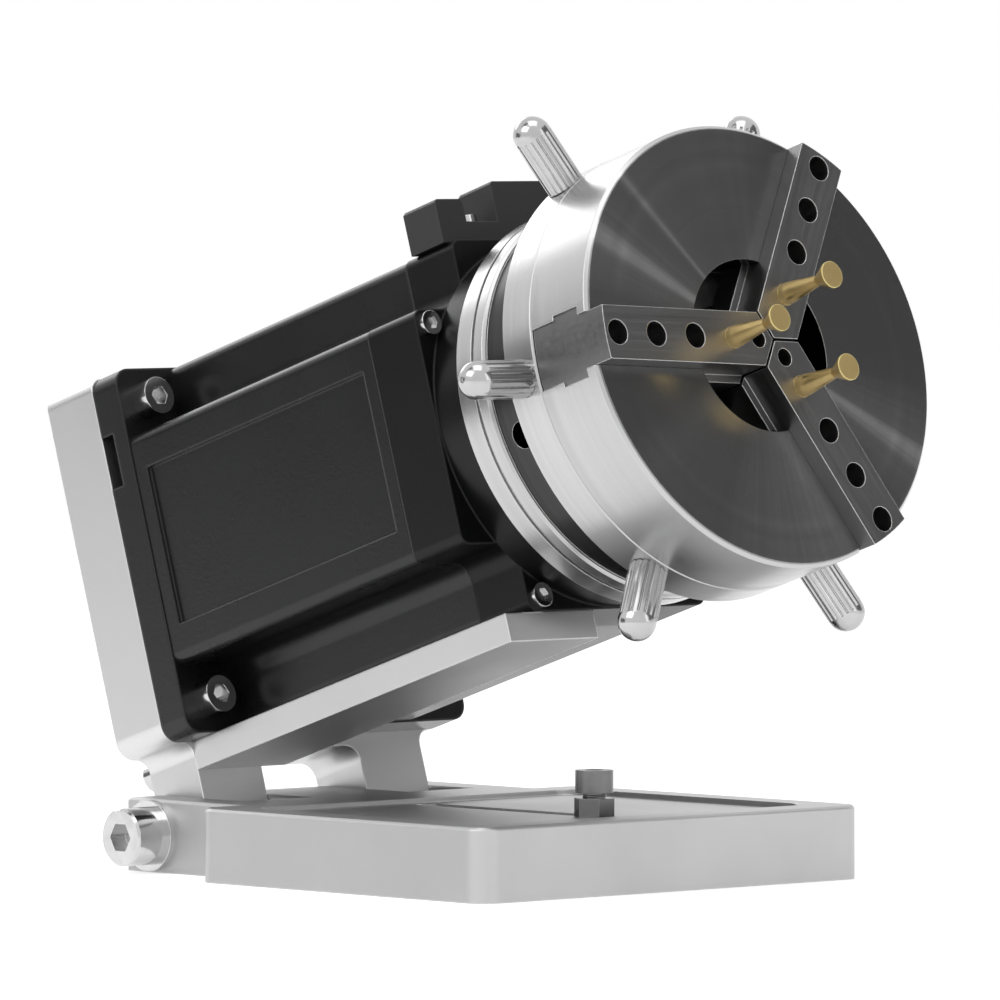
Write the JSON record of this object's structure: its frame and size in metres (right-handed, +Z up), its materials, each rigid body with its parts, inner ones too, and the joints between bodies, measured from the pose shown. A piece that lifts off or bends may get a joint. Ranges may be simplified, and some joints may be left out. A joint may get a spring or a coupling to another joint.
{
  "type": "laser rotary chuck",
  "caption": "Motor-driven scroll chuck for turning round work under a marking laser, on a bracket that tilts on a flat slotted base.",
  "frame": {"origin": "On the underside of the base, at the middle of its rectangular body.", "axes": "+Z up, the chuck points to -Y and upwards by the tilt, +X to the right seen from the front."},
  "size_m": [0.135, 0.2108, 0.1695],
  "materials": {
    "base_metal": "bead-blasted, clear anodised",
    "bracket_metal": "satin, clear anodised",
    "motor_black": "satin black anodised",
    "chuck_steel": "turned and polished",
    "ring_steel": "turned and polished",
    "adapter_steel": "turned",
    "jaw_steel": "ground",
    "handle_steel": "polished, fluted",
    "pin_brass": "turned",
    "screw_chrome": "bright plated",
    "screw_dark": "dark oxide",
    "laminations": "stamped, stacked",
    "winding_copper": "enamelled wire",
    "bearing_steel": "ground",
    "shaft_steel": "ground",
    "connector_black": "moulded",
    "contact_metal": "plated"
  },
  "bodies": {
    "base": {"base_plate": "base_metal", "base_clamp_screw": "screw_dark", "base_clamp_nut": "screw_dark", "base_slide_nut": "screw_dark", "pivot_bolt": "screw_chrome", "pivot_washers": "screw_chrome", "pivot_nut": "screw_chrome"},
    "bracket": {"tilt_bracket": "bracket_metal", "support_arm": "bracket_metal", "arm_screws": "screw_chrome", "motor_rear_flange": "motor_black", "flange_screws": "screw_chrome", "motor_body": "motor_black", "motor_front_cap": "motor_black", "cap_screws": "screw_chrome", "stator_core": "laminations", "stator_windings": "winding_copper", "rear_bearing": "bearing_steel", "front_bearing": "bearing_steel", "connector_housing": "connector_black", "connector_insert": "contact_metal", "connector_screws": "screw_chrome"},
    "spindle": {"motor_shaft": "shaft_steel", "rotor_core": "laminations", "chuck_adapter": "adapter_steel", "adapter_grub_screws": "screw_dark", "adapter_bolts": "screw_dark", "chuck_body": "chuck_steel"},
    "ring": {"lever_ring": "ring_steel", "lever_handles": "handle_steel"},
    "jaw_1": {"jaw_1": "jaw_steel", "jaw_pin_1": "pin_brass"},
    "jaw_2": {"jaw_2": "jaw_steel", "jaw_pin_2": "pin_brass"},
    "jaw_3": {"jaw_3": "jaw_steel", "jaw_pin_3": "pin_brass"}
  },
  "joints": [
    {"name": "bracket_tilt", "type": "hinge", "parent": "base", "child": "bracket", "pos_m": [0, 0.0765, 0.00825], "axis": [-1, 0, 0], "range_deg": [-17.5, 42.5]},
    {"name": "chuck_spin", "type": "hinge", "parent": "bracket", "child": "spindle", "pos_m": [0, -0.02492, 0.10492], "axis": [0, -0.9537, 0.3007], "continuous": true},
    {"name": "lever_ring_turn", "type": "hinge", "parent": "spindle", "child": "ring", "pos_m": [0, -0.05072, 0.11306], "axis": [0, -0.9537, 0.3007], "range_deg": [0, 720]},
    {"name": "jaw_1_slide", "type": "slide", "parent": "spindle", "child": "jaw_1", "axis": [0.5446, 0.2522, 0.7999], "range_m": [0, 0.01]},
    {"name": "jaw_2_slide", "type": "slide", "parent": "spindle", "child": "jaw_2", "axis": [-0.9986, 0.0157, 0.0499], "range_m": [0, 0.01]},
    {"name": "jaw_3_slide", "type": "slide", "parent": "spindle", "child": "jaw_3", "axis": [0.454, -0.2679, -0.8498], "range_m": [0, 0.01]}
  ],
  "couplings": [
    {"joint": "jaw_1_slide", "follows": "lever_ring_turn", "m_per_rad": 0.00079577},
    {"joint": "jaw_2_slide", "follows": "lever_ring_turn", "m_per_rad": 0.00079577},
    {"joint": "jaw_3_slide", "follows": "lever_ring_turn", "m_per_rad": 0.00079577}
  ]
}
